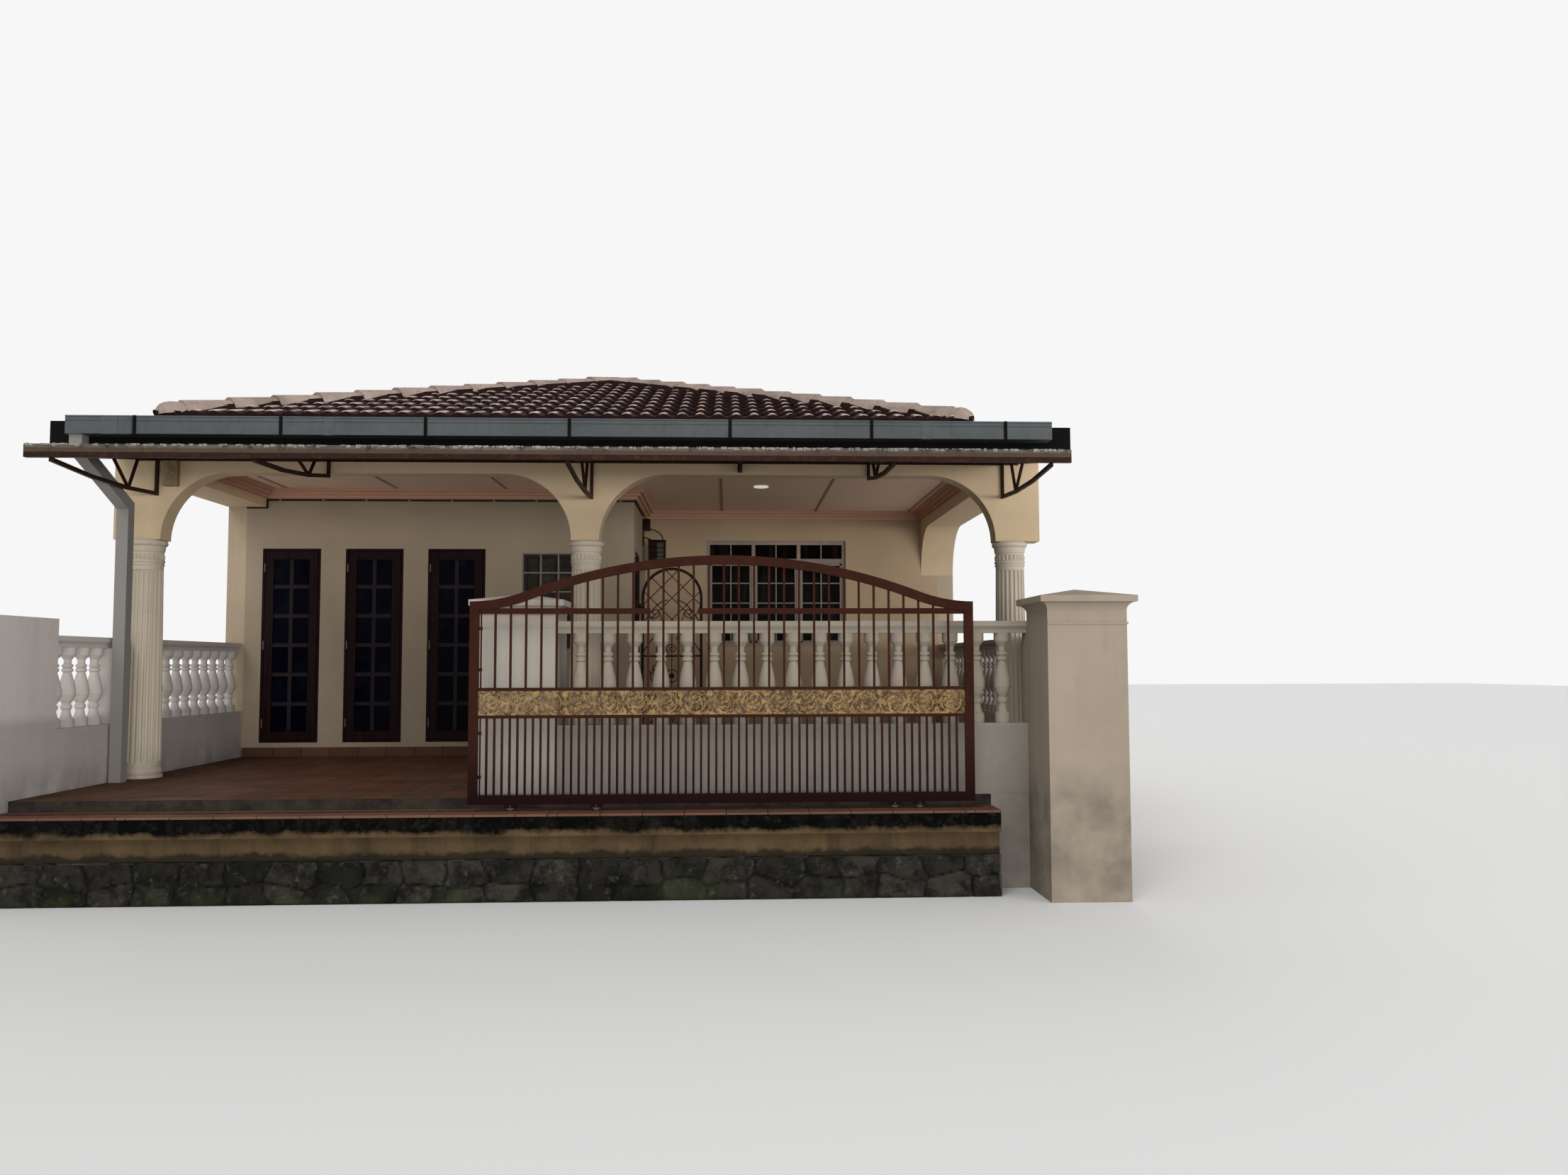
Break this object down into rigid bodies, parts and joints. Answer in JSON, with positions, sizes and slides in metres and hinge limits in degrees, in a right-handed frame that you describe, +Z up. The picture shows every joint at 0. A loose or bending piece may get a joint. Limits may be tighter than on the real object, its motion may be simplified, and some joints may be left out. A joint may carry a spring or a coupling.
{
  "type": "bungalow",
  "caption": "Single-storey terrace house with hip roof, arched porch on fluted columns, balustrade fence and sliding gate.",
  "frame": {"origin": "on the ground under the middle column, at the front face of the arcade", "axes": "+X along the street to the right seen from it, +Y into the house, +Z up"},
  "size_m": [8.3225, 13.9425, 4.8688],
  "materials": {
    "rubble": "rough rubble, mossy",
    "plinth_plaster": "stained plaster",
    "floor_tile": "matt terracotta",
    "wall_paint": "matt cream paint on plaster",
    "white_paint": "matt off-white paint",
    "ceiling_board": "matt white board",
    "cornice_paint": "matt pink paint",
    "roof_tile": "weathered concrete tile",
    "cap_tile": "weathered cap tile",
    "fascia": "black paint",
    "gutter_metal": "blue-grey paint",
    "pipe_plastic": "grey plastic",
    "rusty_steel": "rusty brown steel",
    "awning_plastic": "dirty translucent sheet",
    "gate_paint": "dark red-brown paint",
    "gate_gold": "gold paint",
    "roller_steel": "worn steel",
    "door_wood": "dark maroon varnish",
    "dark_glass": "dark glass",
    "window_metal": "light grey coating",
    "wrought_iron": "black paint"
  },
  "bodies": {
    "house": {"rubble_footing": "rubble", "plinth_band": "plinth_plaster", "porch_floor": "floor_tile", "house_floor": "floor_tile", "front_ledge": "plinth_plaster", "gate_track": "rusty_steel", "left_party_wall": "wall_paint", "right_party_wall": "wall_paint", "rear_wall": "wall_paint", "living_room_wall": "wall_paint", "entrance_wall": "wall_paint", "bedroom_wall": "wall_paint", "arcade": "wall_paint", "left_column": "white_paint", "middle_column": "white_paint", "right_column": "white_paint", "left_side_beam": "wall_paint", "right_side_arch": "wall_paint", "ceiling": "ceiling_board", "cornice": "cornice_paint", "front_roof": "roof_tile", "left_roof": "roof_tile", "right_roof": "roof_tile", "rear_roof": "roof_tile", "ridge_caps": "cap_tile", "eaves_boards": "fascia", "gutter": "gutter_metal", "downpipe": "pipe_plastic", "awning_frame": "rusty_steel", "awning_sheet": "awning_plastic", "awning_brackets": "rusty_steel", "front_fence": "white_paint", "middle_pillar": "white_paint", "right_pillar": "white_paint", "left_boundary_wall": "white_paint", "right_boundary_wall": "white_paint", "door_frames": "door_wood", "window_frames": "window_metal", "window_glass": "dark_glass", "grille_post": "wrought_iron", "entrance_door": "door_wood", "rear_door": "door_wood", "porch_lights": "wrought_iron", "conduit": "pipe_plastic"},
    "gate": {"gate_frame": "gate_paint", "gate_ornament": "gate_gold", "gate_rollers": "roller_steel"},
    "left_door_leaf": {"left_door": "door_wood", "left_door_glass": "dark_glass"},
    "middle_door_leaf": {"middle_door": "door_wood", "middle_door_glass": "dark_glass"},
    "right_door_leaf": {"right_door": "door_wood", "right_door_glass": "dark_glass"},
    "iron_leaf": {"grille_leaf": "wrought_iron"}
  },
  "joints": [
    {"name": "gate_slide", "type": "slide", "parent": "house", "child": "gate", "axis": [-1, 0, 0], "range_m": [0, 3.3]},
    {"name": "left_door_hinge", "type": "hinge", "parent": "house", "child": "left_door_leaf", "pos_m": [-3.7275, 2.3375, 0.85], "axis": [0, 0, -1], "range_deg": [0, 95]},
    {"name": "middle_door_hinge", "type": "hinge", "parent": "house", "child": "middle_door_leaf", "pos_m": [-2.8425, 2.3375, 0.85], "axis": [0, 0, -1], "range_deg": [0, 95]},
    {"name": "right_door_hinge", "type": "hinge", "parent": "house", "child": "right_door_leaf", "pos_m": [-1.9575, 2.3375, 0.85], "axis": [0, 0, -1], "range_deg": [0, 95]},
    {"name": "iron_leaf_hinge", "type": "hinge", "parent": "house", "child": "iron_leaf", "pos_m": [0.308, 2.517, 0.715], "axis": [0, 0, 1], "range_deg": [0, 90]}
  ]
}
